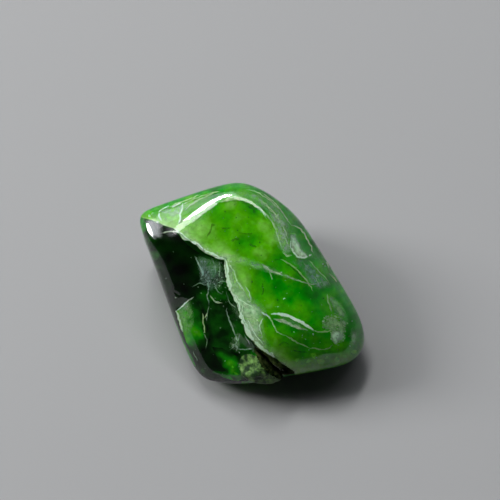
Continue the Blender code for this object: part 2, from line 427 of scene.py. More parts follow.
# The viewpoint
CAMERA_HEADING = math.radians(33.8)
CAMERA_RISE = math.radians(66.0)
PER_MM = 12.1
FRAME_MIDDLE = 250.0
FRAME_WIDTH = 2.0 * FRAME_MIDDLE / PER_MM
LENS = 110.0
SENSOR = 36.0
RIGHT = np.array([math.cos(CAMERA_HEADING), math.sin(CAMERA_HEADING), 0.0])
BACK = np.array([
    math.sin(CAMERA_HEADING) * math.cos(CAMERA_RISE),
    -math.cos(CAMERA_HEADING) * math.cos(CAMERA_RISE),
    math.sin(CAMERA_RISE),
])
UP = np.cross(BACK, RIGHT)
# Where the heart of the stone shows in the frame, and the point aimed at.
HEART_AT = (254.0, 284.0)
AIM = RIGHT * (FRAME_MIDDLE - HEART_AT[0]) / PER_MM + UP * (HEART_AT[1] - FRAME_MIDDLE) / PER_MM
EYE = AIM + BACK * FRAME_WIDTH * LENS / SENSOR

glass = body_glass()
skin = add_mesh("stone_skin", points, faces, glass)
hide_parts(NODE)

# Cracks in the stone
# Rays of sight look for the skin this far before and behind the middle of the
# frame, in millimetres, in so many steps, and halve the last step so often.
SIGHT_NEAR = 9.0
SIGHT_FAR = 1.0
SIGHT_STEPS = 60
SIGHT_HALVINGS = 16
PULL_HALVINGS = 12
# Everything inside the stone stays at least this far under its skin.
SKIN_GAP = 0.02


def rays_of_sight(places):
    """Unit ways from the eye through places in the frame."""
    across = np.outer((places[:, 0] - FRAME_MIDDLE) / PER_MM, RIGHT)
    down = np.outer((places[:, 1] - FRAME_MIDDLE) / PER_MM, UP)
    return unit(AIM + across - down - EYE)


def halved(outer, inner, is_inside, rounds):
    """Where the way from outer to inner, halved again and again, comes inside."""
    for _ in range(rounds):
        mid = (outer + inner) / 2.0
        now = is_inside(mid)
        inner = np.where(now, mid, inner)
        outer = np.where(now, outer, mid)
    return inner


def skin_hits(ways):
    """Where rays of sight meet the worn skin, and which of them do."""

    def in_stone(t):
        return fullness(EYE + ways * t[:, None]) < 1.0

    start = ((AIM - EYE) @ BACK) / (ways @ BACK)
    near = start - SIGHT_NEAR
    step = (SIGHT_NEAR + SIGHT_FAR) / SIGHT_STEPS
    inside = np.full(len(ways), False)
    last = near.copy()
    for k in range(1, SIGHT_STEPS + 1):
        t = near + step * k
        now = in_stone(t)
        first = now & ~inside
        last[first] = t[first]
        inside |= now
    at = halved(last - step, last, in_stone, SIGHT_HALVINGS)
    return EYE + ways * at[:, None], inside


def below_skin(places, depths):
    """Points that show at places in the frame, at depths under the skin."""
    places = np.asarray(places, float)
    depths = np.asarray(depths, float)
    ways = rays_of_sight(places)
    hit, on_stone = skin_hits(ways)
    normal = skin_normals(hit)
    lean = -(normal * ways).sum(1)
    ratio = 1.0 / INDEX
    steep = np.sqrt(np.maximum(1.0 - ratio**2 * (1.0 - lean**2), 0.0))
    bent = ways * ratio + normal * (ratio * lean - steep)[:, None]
    spots = hit + bent * depths[:, None]
    far = np.linalg.norm(spots, axis=1)
    real, _, crevice = stone_reach(spots / far[:, None])
    spots *= np.minimum(1.0, (real - SKIN_GAP) / far)[:, None]
    spots[~on_stone | crevice] = np.nan
    return spots


def skin_normals(spots):
    """Outward directions of the worn skin at points on it."""
    slope = np.stack([fullness(spots + e) - fullness(spots - e) for e in np.eye(3) * 0.001], -1)
    return unit(slope)


def frame_places(spots):
    """Where points of the stone show in the frame."""
    off = spots - AIM
    scale = PER_MM / (1.0 - (off @ BACK) / np.linalg.norm(EYE - AIM))
    return FRAME_MIDDLE + np.stack([(off @ RIGHT) * scale, -(off @ UP) * scale], -1)


def are_on_stone(places):
    """Which places in the frame show the stone, outside its crevice."""
    return np.isfinite(below_skin(places, np.zeros(len(places)))).all(1)


def pulled_in(places):
    """Places beside the stone moved towards its middle, to just inside its outline."""
    inner = np.array(places, float)
    rows = np.flatnonzero(~are_on_stone(inner))
    if len(rows):
        middle = np.tile(HEART_AT, (len(rows), 1))
        found = halved(inner[rows], middle, lambda mid: are_on_stone(mid)[:, None], PULL_HALVINGS)
        inner[rows] = found
    return inner


def resample(line, step):
    """Evenly spaced points along an open line."""
    line = np.asarray(line, float)
    legs = np.linalg.norm(np.diff(line, axis=0), axis=1)
    along = np.concatenate([[0.0], np.cumsum(legs)])
    count = max(2, int(round(along[-1] / step)) + 1)
    at = np.linspace(0.0, along[-1], count)
    return np.stack([np.interp(at, along, line[:, i]) for i in (0, 1)], -1)


def jitter(line, size, grain, seed):
    """Move points about by noise of one grain, given in pixels."""
    out = np.array(line, float)
    for i, p in enumerate(out):
        q = Vector((p[0] / grain, p[1] / grain, seed))
        out[i] += [noise.noise(q) * size, noise.noise(q + Vector((31.7, 5.3, 0.0))) * size]
    return out


def ramped(tree, value, stops):
    """Colour that follows a value along stops (place, colour)."""
    ramp = add_node(tree, "ValToRGB", Fac=value)
    elements = ramp.color_ramp.elements
    for element, (at, colour) in zip(elements, (stops[0], stops[-1])):
        element.position = at
        element.color = (*colour, 1.0)
    for at, colour in stops[1:-1]:
        elements.new(at).color = (*colour, 1.0)
    return ramp.outputs["Color"]


def mottle(tree, dull, bright, scale, low=0.36, high=0.62):
    """Colour that noise takes from dull to bright."""
    return ramped(tree, noise_on(tree, scale, 7.0, 0.65), [(low, dull), (high, bright)])


def broken(name, dull, bright, roughness, scale, low=0.36, high=0.62):
    """Opaque broken surface inside the stone, mottled from dull to bright."""
    mat, tree, shader = principled(name, roughness)
    feed(shader, Base_Color=mottle(tree, dull, bright, scale, low, high))
    return mat


def hazy(name, dull, bright, roughness, scale, see, patchy=0.5):
    """Thin pale veil: it fades with the piece's own thin_out and is patchy."""
    mat, tree, shader = principled(name, roughness)
    feed(shader, Base_Color=mottle(tree, dull, bright, scale))
    cloud = noise_on(tree, scale * 0.6, 6.0, 0.7)
    spread = mapped(tree, cloud, 0.35, 0.65, see * (1.0 - patchy), see * (1.0 + patchy))
    feed(shader, Alpha=combined(tree, "MULTIPLY", spread, mark_of(tree, "thin_out")))
    return mat


def to_line(places, line):
    """Distance from each place to an open line, all in frame pixels."""
    line = np.asarray(line, float)
    best = np.full(len(places), 1e9)
    for a, b in zip(line[:-1], line[1:]):
        leg = b - a
        t = np.clip(((places - a) @ leg) / (leg @ leg), 0.0, 1.0)
        best = np.minimum(best, np.linalg.norm(places - a - t[:, None] * leg, axis=1))
    return best


def are_inside(places, ring):
    """Which places lie inside a closed ring."""
    a = np.asarray(ring, float)
    b = np.roll(a, -1, axis=0)
    x, y = places[:, 0][:, None], places[:, 1][:, None]
    rise = np.where(b[:, 1] == a[:, 1], 1e-9, b[:, 1] - a[:, 1])
    cross = (a[:, 1] > y) != (b[:, 1] > y)
    at = a[:, 0] + (y - a[:, 1]) * (b[:, 0] - a[:, 0]) / rise
    return ((cross & (x < at)).sum(1) % 2).astype(bool)


# A sheet looks from 0 to 2 deep, and lies this deep for it, in millimetres.
DEEPEST_LOOK = 2.0
SHALLOW = 0.03
PER_LOOK = 0.42
# A knot's pull falls with the distance in pixels, plus a blur, to this power.
KNOT_BLUR = 2.0
KNOT_POWER = 3
# Length of a sheet's waves in pixels, and the shapes of waves.
SHEET_WAVE = 20.0
SHEET_WAVE_SHAPE = (0.7, 2.0, 5)
STONE_WAVE_SHAPE = (0.8, 2.0, 4)
# Edges and cracks wander by noise of a size and a grain, both in pixels.
EDGE_STEP = 1.6
EDGE_WANDER = (0.6, 3.0)
CRACK_STEP = 0.9
CRACK_WANDER = (0.9, 4.0)
CRACK_SHAKE = (0.4, 1.4)
# A crack's width varies by a share, in grains of so many pixels. It tapers over
# the first and last sixth of its length, down to a share of its width.
CRACK_UNEVEN = 0.7
CRACK_GRAIN = 2.6
CRACK_TAPER = 6.0
CRACK_TIP = 0.12
CRACK_BLUNT = 0.7
# One side of a crack, and each next corner of a splinter, is this much deeper.
ASKEW = 0.03
# A splinter's corners reach out by a share of its size, a ragged share more,
# and for every other corner a third share. Sideways it is stretched.
SPLINTER_CORNERS = 5
SPLINTER_REACH = (0.55, 0.45, 0.3)
SPLINTER_STRETCH = 1.15


def looks_at(places, knots):
    """How deep places look: one number, or led by knots (x, y, look)."""
    if np.ndim(knots) == 0:
        return np.full(len(places), float(knots))
    knots = np.asarray(knots, float)
    gap = np.linalg.norm(places[:, None] - knots[None, :, :2], axis=2)
    pull = 1.0 / (gap + KNOT_BLUR) ** KNOT_POWER
    return (pull * knots[:, 2]).sum(1) / pull.sum(1)


def net_inside(edge, step):
    """Flat net of triangles inside a ring of places, and its corners."""
    xs = np.arange(edge[:, 0].min(), edge[:, 0].max(), step)
    ys = np.arange(edge[:, 1].min(), edge[:, 1].max(), step)
    rows = []
    for i, y in enumerate(ys):
        rows.append(np.stack([xs + (step / 2.0) * (i % 2), np.full(len(xs), y)], -1))
    net = np.concatenate(rows)
    net = net[are_inside(net, edge)]
    net = net[to_line(net, np.concatenate([edge, edge[:1]])) > step * 0.6]
    flat = [Vector(p) for p in edge] + [Vector(p) for p in net]
    ring = [(i, (i + 1) % len(edge)) for i in range(len(edge))]
    verts, _, tris, *_ = delaunay_2d_cdt(flat, ring, [], 1, 1e-4)
    return np.array([tuple(v) for v in verts]), tris


def sheet(name, outline, knots, material, seed, step=3.0, rough=0.06, soft=None, fade=4.0, lie=None):
    """Wavy broken sheet inside an outline; it fades towards the soft line.

    It lies as deep as it looks, or everywhere at the depth lie.
    """
    ring = list(outline) + [outline[0]]
    edge = pulled_in(jitter(resample(ring, EDGE_STEP)[:-1], *EDGE_WANDER, seed))
    places, tris = net_inside(edge, step)
    look = looks_at(places, knots)
    for i, p in enumerate(places):
        wave = noise.fractal(Vector((*(p / SHEET_WAVE), seed)), *SHEET_WAVE_SHAPE)
        look[i] += wave * rough * (0.3 + look[i])
    look = np.clip(look, 0.0, DEEPEST_LOOK)
    depth = SHALLOW + look * PER_LOOK if lie is None else np.full(len(look), lie)
    soft = ring if soft is None else soft
    marks = {"deep": look, "thin_out": np.clip(to_line(places, soft) / fade, 0.0, 1.0)}
    return add_mesh(name, below_skin(places, depth), tris, material, marks)


def ribbon(width, line, seed):
    """Two wandering sides of a crack along a line, and how full it is there."""
    mid = jitter(resample(line, CRACK_STEP), *CRACK_WANDER, seed)
    mid = jitter(mid, *CRACK_SHAKE, seed + 9.0)
    way = unit(np.gradient(mid, axis=0))
    side = np.stack([-way[:, 1], way[:, 0]], -1)
    t = np.linspace(0.0, 1.0, len(mid))
    taper = np.clip(np.minimum(t, 1.0 - t) * CRACK_TAPER, CRACK_TIP, 1.0) ** CRACK_BLUNT
    grains = [noise.noise(Vector((*(p / CRACK_GRAIN), seed + 50.0))) for p in mid]
    half = (0.5 * width * taper * (1.0 + CRACK_UNEVEN * np.array(grains)))[:, None]
    return mid - side * half, mid + side * half, taper


def ribbons(name, rows, material, seed):
    """Thin cracks, each a ribbon along a line: (width, depth, then the points)."""
    places, depths, quads, thin = [], [], [], []
    base = 0
    for count, (width, depth, *line) in enumerate(rows):
        left, right, taper = ribbon(width, line, seed + count)
        n = len(taper)
        places += [left, right]
        depths += [np.full(n, depth), np.full(n, depth + ASKEW)]
        thin += [taper, taper]
        ids = np.arange(n - 1) + base
        quads.append(np.stack([ids, ids + 1, ids + n + 1, ids + n], -1))
        base += 2 * n
    spots = below_skin(np.concatenate(places), np.concatenate(depths))
    return add_mesh(name, spots, np.concatenate(quads), material, {"thin_out": np.concatenate(thin)})


def flakes(name, rows, material, seed):
    """Small bright splinters: (x, y, size in pixels, depth)."""
    least, more, odd = SPLINTER_REACH
    places, depths, cells = [], [], []
    for count, (x, y, size, depth) in enumerate(rows):
        start = len(places)
        turn = GOLDEN_TURN * count + seed
        for k in range(SPLINTER_CORNERS):
            ragged = noise.noise(Vector((x + k * 3.1, y, seed)))
            far = size * 0.5 * (least + more * ragged + odd * (k % 2))
            angle = turn + k * math.tau / SPLINTER_CORNERS
            places.append((x + math.cos(angle) * far * SPLINTER_STRETCH, y + math.sin(angle) * far))
            depths.append(depth + ASKEW * k)
        cells.append([start + k for k in range(SPLINTER_CORNERS)])
    return add_mesh(name, below_skin(places, depths), cells, material)


DULL_MOTTLE = (0.70, 0.74, 0.66)
CLEAR_MOTTLE = (1.0, 1.0, 1.0)


def deep_break(name, stops, scale, roughness=0.6):
    """Broken face that turns from pale to deep green as it looks deeper."""
    mat, tree, shader = principled(name, roughness)
    deep = mapped(tree, mark_of(tree, "deep"), 0.0, DEEPEST_LOOK, 0.0, 1.0)
    both = tree.nodes.new("ShaderNodeMix")
    both.data_type = "RGBA"
    both.blend_type = "MULTIPLY"
    spots = mottle(tree, DULL_MOTTLE, CLEAR_MOTTLE, scale, 0.32, 0.60)
    feed(both, Factor=1.0, A=ramped(tree, deep, stops), B=spots)
    feed(shader, Base_Color=both.outputs["Result"])
    return mat


VEIL_RINGS = 12
VEIL_SPOKES = 44
VEIL_DIP = (0.05, 0.12)
# Uneven edge, ripples and grain of a veil: how large they are, and how close.
VEIL_UNEVEN = (0.30, 1.3)
VEIL_RIPPLES = (0.04, 11.0)
VEIL_GRAIN = (0.08, 0.9)


def oval_veil(name, bearing, rise, radii, turn, seed):
    """Shell-shaped inner break under the skin, dipping from one end to the other."""
    spot, normal = skin_spot(bearing, rise)
    level = np.cross(np.array([0.0, 0.0, 1.0]), normal)
    along = np.array(Matrix.Rotation(math.radians(turn), 3, Vector(normal)) @ Vector(level))
    axes = axes_on(normal, along)
    turns = np.arange(VEIL_SPOKES) * math.tau / VEIL_SPOKES
    edge = np.stack([np.cos(turns), np.sin(turns)], -1)
    bends = [noise.fractal(Vector((*(p * VEIL_UNEVEN[1]), seed)), *STONE_WAVE_SHAPE) for p in edge]
    reach = 1.0 + VEIL_UNEVEN[0] * np.array(bends)
    share = np.outer(np.arange(VEIL_RINGS + 1) / VEIL_RINGS, reach).ravel()
    way = np.tile(edge, (VEIL_RINGS + 1, 1)) * share[:, None]
    aims = spot + way * radii @ axes[:2]
    ripples = VEIL_RIPPLES[0] * np.sin(share * VEIL_RIPPLES[1])
    grain = VEIL_GRAIN[0] * np.array([noise.noise(Vector(aim) / VEIL_GRAIN[1]) for aim in aims])
    dip = VEIL_DIP[0] + (VEIL_DIP[1] - VEIL_DIP[0]) * (0.5 + 0.5 * way[:, 0])
    depths = np.maximum(SHALLOW, dip + ripples + grain)
    rays = unit(aims)
    spots = rays * skin_reach(rays)[:, None] - normal * depths[:, None]
    ids = np.arange(len(aims)).reshape(-1, VEIL_SPOKES)
    turned = np.roll(ids, -1, axis=1)
    quads = np.stack([ids[:-1], ids[1:], turned[1:], turned[:-1]], -1).reshape(-1, 4)
    thin = np.clip((VEIL_RINGS - np.arange(VEIL_RINGS + 1)) / 4.0, 0.15, 1.0)
    marks = {"deep": (depths - SHALLOW) / PER_LOOK, "thin_out": np.repeat(thin, VEIL_SPOKES)}
    return add_mesh(name, spots, quads, BLOOM, marks)


def grown(chosen, cells, rounds):
    """The chosen corners of a net with so many rows of cells around them."""
    for _ in range(rounds):
        out = chosen.copy()
        out[cells[chosen[cells].any(1)]] = True
        chosen = out
    return chosen


CAP_GRAIN = 0.22


def skin_part(name, chosen, lift, crags, material):
    """Cap of its own material over the chosen part of the skin."""
    kept = faces[chosen[faces].all(1)]
    across = points[kept[:, 2]] - points[kept[:, 0]]
    along = points[kept[:, 3]] - points[kept[:, 1]]
    outward_way = np.zeros_like(points)
    for corner in range(4):
        np.add.at(outward_way, kept[:, corner], np.cross(across, along))
    out = points.copy()
    for i in np.unique(kept):
        rise = lift + crags * noise.noise(Vector(points[i]) / CAP_GRAIN)
        out[i] += unit(outward_way[i]) * rise
    return add_mesh(name, out, kept, material)


WHITE = broken("crack_white", (0.76, 0.93, 0.96), (0.92, 1.0, 1.0), 0.40, 5200.0)
SILVER = broken("crack_silver", (0.30, 0.44, 0.34), (0.80, 0.88, 0.82), 0.35, 5200.0)
LEAF = broken("crack_green", (0.42, 0.66, 0.34), (0.80, 0.92, 0.70), 0.50, 4600.0)
GREEN_SHADE = hazy("green_shade", (0.01, 0.09, 0.004), (0.04, 0.24, 0.01), 0.6, 2600.0, 0.45)
SHADE = broken("crack_shade", (0.004, 0.012, 0.004), (0.02, 0.07, 0.01), 0.60, 4600.0)
CRUST = broken("knob_crust", (0.003, 0.020, 0.002), (0.15, 0.30, 0.07), 0.45, 1900.0, 0.44, 0.72)
# The crevice's near-black colour is painted shade in the recess.
CREVICE_SHADE = broken("crevice_painted_shade", (0.002, 0.006, 0.001), (0.040, 0.055, 0.015), 0.9, 3000.0, 0.42, 0.72)
BODY = deep_break("inner_break", [
    (0.0, (0.88, 0.98, 0.96)), (0.10, (0.62, 0.90, 0.46)), (0.30, (0.31, 0.74, 0.013)),
    (0.60, (0.02, 0.58, 0.005)), (1.0, (0.010, 0.15, 0.004)),
], 2200.0)
# The glow break is painted light and shade: near black where it looks shallow, pale green where it
# looks deep, for glowing patches in the dark side.
GLOW = deep_break("glow_break", [
    (0.0, (0.002, 0.006, 0.003)), (0.35, (0.008, 0.09, 0.005)), (0.60, (0.03, 0.48, 0.01)),
    (0.80, (0.24, 0.70, 0.02)), (1.0, (0.66, 0.88, 0.46)),
], 2000.0)
# The dark side's break is painted shade where it looks shallow, near black, and green where it looks
# deep.
DARK = deep_break("dark_painted_shade", [
    (0.0, (0.002, 0.004, 0.002)), (0.40, (0.010, 0.050, 0.010)), (0.60, (0.04, 0.24, 0.03)),
    (1.0, (0.14, 0.70, 0.05)),
], 1600.0, roughness=0.8)
HAZE = hazy("pale_haze", (0.66, 0.97, 0.76), (0.90, 1.0, 0.98), 0.6, 3400.0, 0.90, patchy=0.5)
MIST = hazy("pale_mist", (0.44, 0.72, 0.52), (0.92, 1.0, 1.0), 0.6, 2400.0, 0.62, patchy=0.6)
VEIL = hazy("pale_veil", (0.50, 0.85, 0.60), (0.84, 1.0, 0.92), 0.6, 2600.0, 0.42, patchy=0.7)
BLOOM = hazy("thin_bloom", (0.64, 0.92, 0.68), (0.86, 1.0, 0.88), 0.6, 2400.0, 0.24, patchy=0.8)
TEAL = hazy("teal_veil", (0.22, 0.50, 0.42), (0.62, 0.90, 0.82), 0.5, 2600.0, 0.27, patchy=0.8)
MURK = broken("crack_teal", (0.12, 0.27, 0.19), (0.58, 0.80, 0.66), 0.50, 5200.0)
SPOT = broken("leaf_spot", (0.12, 0.78, 0.006), (0.50, 1.0, 0.04), 0.50, 4600.0)
SPECK = broken("green_speck", (0.01, 0.11, 0.004), (0.05, 0.30, 0.01), 0.60, 4600.0)
for mat in (CRUST, CREVICE_SHADE, BODY, DARK, GLOW, SILVER, WHITE, MURK):
    shader = mat.node_tree.nodes["Principled BSDF"]
    add_bump(mat.node_tree, shader, *BREAK_RELIEF)
    shader.inputs["Specular IOR Level"].default_value = 0.3 if mat == CRUST else 0.0

# Outlines and lines are pixels of the 500 x 500 frame, x to the right and y down.
# The broken edge and the rim close the outline of the pale crown.
BREAK = [
    (152, 220), (160, 223), (165, 226), (172, 228), (177, 230), (180, 235), (184, 240), (190, 241),
    (195, 243), (200, 249), (205, 253), (215, 257), (224, 258), (226, 270), (228, 280), (230, 290),
    (236, 300), (240, 312), (245, 325), (250, 335), (262, 347), (275, 357), (285, 367),
]
RIM = [
    (296, 375), (310, 374), (326, 370), (341, 366), (358, 358), (367, 348), (368, 337), (366, 327),
    (362, 318), (356, 305), (349, 289), (340, 273), (330, 258.5), (320, 244), (307, 227), (291, 206),
    (282, 198), (268, 191), (257, 185.5), (246, 182.5), (236, 182), (221, 184.5), (209, 188),
    (194, 194), (182, 198), (167, 202), (154, 206.5), (144, 210.5), (140, 217),
]
# Knots are (x, y, how deep it looks there).
MAIN_KNOTS = [(x, y, (0.08, 0.28)[k % 2]) for k, (x, y) in enumerate(BREAK)] + [
    (180, 224, 0.20), (195, 230, 0.38), (210, 240, 0.56), (216, 223, 0.82), (240, 215, 0.46),
    (235, 235, 0.58), (255, 250, 0.46), (262, 225, 0.40), (275, 240, 0.48), (240, 265, 0.42),
    (238, 285, 0.30), (244, 305, 0.22), (256, 325, 0.25), (262, 300, 0.80), (270, 275, 1.00),
    (290, 300, 1.10), (280, 285, 1.30), (310, 300, 1.20), (300, 275, 1.05), (325, 300, 1.15),
    (340, 320, 1.10), (270, 345, 0.85), (300, 358, 0.80), (320, 345, 1.05), (300, 330, 1.10),
    (335, 355, 0.75), (275, 320, 1.20), (355, 342, 1.10), (350, 310, 1.30), (345, 295, 1.20),
    (330, 280, 1.25), (318, 268, 1.05), (305, 245, 1.20), (290, 220, 0.90), (275, 205, 0.85),
    (260, 198, 0.95), (245, 192, 0.85), (226, 190, 1.40), (205, 197, 0.80), (190, 205, 0.70),
    (170, 212, 0.55), (155, 215, 0.80), (320, 362, 0.55), (338, 360, 0.52), (288, 308, 0.75),
    (300, 308, 0.80), (232, 205, 0.40), (254, 209, 0.95), (240, 241, 0.92), (254, 245, 0.95),
    (262, 288, 0.90), (285, 265, 1.30), (262, 255, 0.50), (340, 292, 1.00), (152, 207, 0.95),
    (166, 203, 1.20), (181, 198, 1.30), (198, 192, 1.35), (214, 187, 1.40), (235, 184, 1.30),
    (255, 187, 1.25), (272, 194, 1.20), (288, 206, 1.20), (304, 225, 1.35), (318, 243, 1.40),
    (334, 266, 1.30), (349, 291, 1.30), (361, 317, 1.25), (365, 338, 1.25),
]
DARK_SIDE = [
    (140, 221), (150, 221), (158, 224), (166, 228), (174, 231), (179, 236), (186, 243), (198, 252),
    (212, 258), (224, 260), (225, 275), (228, 291), (235, 303), (240, 318), (245, 331), (251, 340),
    (258, 350), (254, 362), (248, 385), (233, 385), (219, 385), (204, 382), (196, 376), (190, 368),
    (183, 356), (178, 342), (172, 328), (163, 306), (154, 284), (148, 270), (141, 250), (138, 237),
]
DARK_SIDE_KNOTS = [
    (146, 226, 0.6), (150, 240, 0.95), (155, 255, 0.95), (160, 270, 0.9), (166, 285, 0.7),
    (172, 300, 0.4), (164, 240, 0.30), (175, 240, 0.25), (168, 258, 0.10), (180, 270, 0.0),
    (185, 290, 0.0), (176, 286, 0.1), (190, 250, 0.40), (204, 260, 1.1), (211, 267, 1.35),
    (214, 275, 1.2), (219, 278, 0.6), (206, 275, 0.5), (200, 284, 0.7), (203, 297, 1.0),
    (195, 308, 1.3), (199, 316, 0.9), (215, 294, 1.1), (222, 288, 1.0), (215, 330, 1.15),
    (220, 315, 1.05), (213, 308, 1.05), (212, 345, 1.1), (225, 345, 0.7), (222, 333, 0.9),
    (215, 365, 0.3), (205, 360, 0.6), (222, 370, 0.5), (235, 320, 1.1), (240, 335, 1.4),
    (246, 343, 1.5), (203, 371, 0.9), (192, 352, 1.0), (180, 322, 0.5), (197, 362, 0.3),
    (210, 372, 0.4), (228, 378, 0.6), (242, 377, 0.7),
]
# Inner ends of veils, and the veils themselves.
PALE_SIDE = [
    (288, 360), (276, 350), (269, 342), (266, 333), (264, 322), (268, 311), (262, 302), (252, 295),
    (245, 286), (239, 275), (236, 262), (229, 253), (216, 250), (205, 243), (193, 235), (180, 226),
]
TIP_BLOOM = [
    (146, 215), (156, 209), (168, 205), (183, 201), (198, 197), (214, 191), (226, 188), (222, 193),
    (206, 199), (192, 206), (183, 213), (176, 224), (170, 226), (162, 222), (152, 219),
]
RIM_BLOOM = [
    (222, 200), (235, 197), (246, 199), (258, 206), (268, 216), (276, 227), (279, 240), (283, 254),
    (291, 256), (290, 241), (291, 226), (284, 213), (275, 202), (262, 194), (245, 190), (230, 190),
    (222, 194),
]
FLAKE_SIDE_VEIL = [
    (264, 205), (274, 212), (282, 222), (289, 233), (293, 246), (291, 256), (283, 254), (277, 246),
    (272, 238), (275, 228), (270, 216),
]
CROSS_VEIL = [
    (225, 253), (236, 254), (250, 258), (262, 263), (275, 268), (290, 275), (304, 281), (302, 284),
    (286, 279), (270, 274), (256, 270), (244, 266), (233, 264), (226, 260),
]
LENS_VEIL = [
    (272, 317), (284, 317), (296, 321), (308, 328), (320, 331), (328, 331), (320, 334), (304, 332),
    (290, 328), (280, 323),
]
# The band highlight's soft halo is painted as a pale veil that fades towards this line.
HIGHLIGHT_HALO_EDGE = [(222, 201), (216, 210), (206, 222), (196, 236)]
HIGHLIGHT_HALO = [
    (178, 222), (205, 205), (222, 201), (216, 210), (206, 222), (196, 234), (186, 234), (180, 230),
]
FLAKE_VEIL = [
    (291, 227), (296, 231), (300, 239), (303, 247), (308, 254), (308, 257), (300, 258), (295, 255),
    (291, 250), (289, 242), (290, 235),
]
TEAL_BAND = [
    (284, 259), (296, 258), (303, 259), (310, 260), (316, 265), (322, 272), (329, 280), (333, 287),
    (325, 289), (318, 291), (314, 288), (308, 280), (300, 270), (292, 263),
]
END_VEIL = [
    (324, 293), (333, 296), (341, 303), (347, 313), (350, 326), (344, 330), (339, 320), (331, 308),
]
END_VEIL_LOW = [
    (351, 326), (356, 328), (358, 336), (357, 343), (353, 347), (349, 344), (350, 335),
]
LEFT_PATCH = [
    (176, 311), (183, 304), (191, 298), (198, 303), (204, 316), (208, 328), (210, 340), (204, 350),
    (194, 355), (187, 343), (182, 328),
]
LEFT_PATCH_KNOTS = [
    (177, 313, 1.9), (180, 320, 1.95), (184, 330, 1.85), (186, 316, 1.6), (190, 324, 1.45),
    (196, 332, 1.62), (200, 335, 1.50), (188, 338, 1.5), (190, 309, 1.0), (184, 306, 1.3),
    (194, 344, 0.8), (202, 342, 0.6), (204, 328, 0.7), (198, 316, 0.8), (196, 305, 0.4),
    (191, 299, 0.5), (193, 353, 0.2), (203, 350, 0.0), (210, 340, 0.0), (208, 328, 0.1),
    (204, 316, 0.1), (198, 303, 0.1), (193, 320, 1.2), (200, 324, 1.0),
]
LIGHT_PIPE = [
    (212, 347), (222, 348), (231, 353), (240, 359), (247, 369), (246, 380), (233, 380), (226, 371),
    (219, 362),
]
LIGHT_PIPE_KNOTS = [
    (221, 354, 1.1), (226, 358, 1.25), (231, 362, 1.30), (235, 368, 1.35), (236, 374, 1.45),
    (240, 372, 1.0), (229, 363, 1.7), (233, 371, 1.75), (238, 366, 1.0), (212, 347, 0.0),
    (222, 348, 0.1), (231, 353, 0.2), (240, 359, 0.2), (247, 369, 0.1), (246, 380, 0.0),
    (233, 380, 0.3), (226, 371, 0.3), (219, 362, 0.2),
]
PATCH_VEIL = [
    (176, 311), (183, 304), (190, 300), (194, 308), (195, 322), (191, 332), (185, 334), (181, 324),
]
# Cracks are (width in pixels, depth in millimetres, then the points).
BREAK_LINE = [
    (1.3, 0.02, (174, 228), (180, 233), (186, 238), (191, 241)),
    (2.6, 0.02, (191, 241), (197, 244), (203, 250)),
    (2.4, 0.02, (203, 250), (208, 252), (213, 254), (219, 258), (225, 259)),
    (3.8, 0.02, (225, 259), (226, 268), (227, 276), (229, 284), (231, 292)),
    (2.2, 0.02, (231, 292), (235, 298), (238, 304), (240, 312)),
    (4.0, 0.02, (240, 312), (243, 320), (246, 328), (250, 336), (254, 341)),
    (3.2, 0.02, (254, 341), (260, 347), (267, 352), (275, 357)),
]
# Splinters are (x, y, size in pixels, depth in millimetres).
# These dark splinters along the broken edge are painted shade in its small notches.
EDGE_NOTCH_SHADE = [
    (193, 242, 3.6, 0.015), (197, 244, 3.0, 0.015), (200, 247, 4.0, 0.015), (203, 251, 3.0, 0.015),
    (208, 253, 3.4, 0.015), (212, 255.5, 2.6, 0.015), (216, 258, 3.0, 0.015), (221, 259.5, 3.4, 0.015),
    (224.5, 264, 2.6, 0.015), (225.5, 272, 2.4, 0.015), (229, 290, 2.4, 0.015),
    (234.5, 301, 2.6, 0.015), (241, 318, 2.8, 0.015), (246, 331, 2.6, 0.015),
]
SHADE_LINES = [
    (1.8, 0.10, (221, 228), (226, 229), (231, 228)),
    (2.2, 0.10, (231, 241), (235, 239), (240, 239)),
    (1.8, 0.10, (249, 244), (253, 246), (257, 247)),
    (1.0, 0.10, (238, 233), (246, 234), (254, 233)),
    (1.6, 0.10, (206, 238), (210, 231), (213, 222)),
    (2.4, 0.10, (249, 206), (253, 209), (256, 213)),
    (1.6, 0.10, (262, 296), (263, 288), (262, 281)),
    (1.4, 0.10, (283, 258), (278, 259), (274, 261)),
    (1.2, 0.10, (286, 262), (292, 267), (298, 273), (304, 280)),
    (1.6, 0.10, (278, 346), (284, 342), (290, 345)),
    (1.4, 0.10, (292, 350), (300, 352), (308, 352)),
]
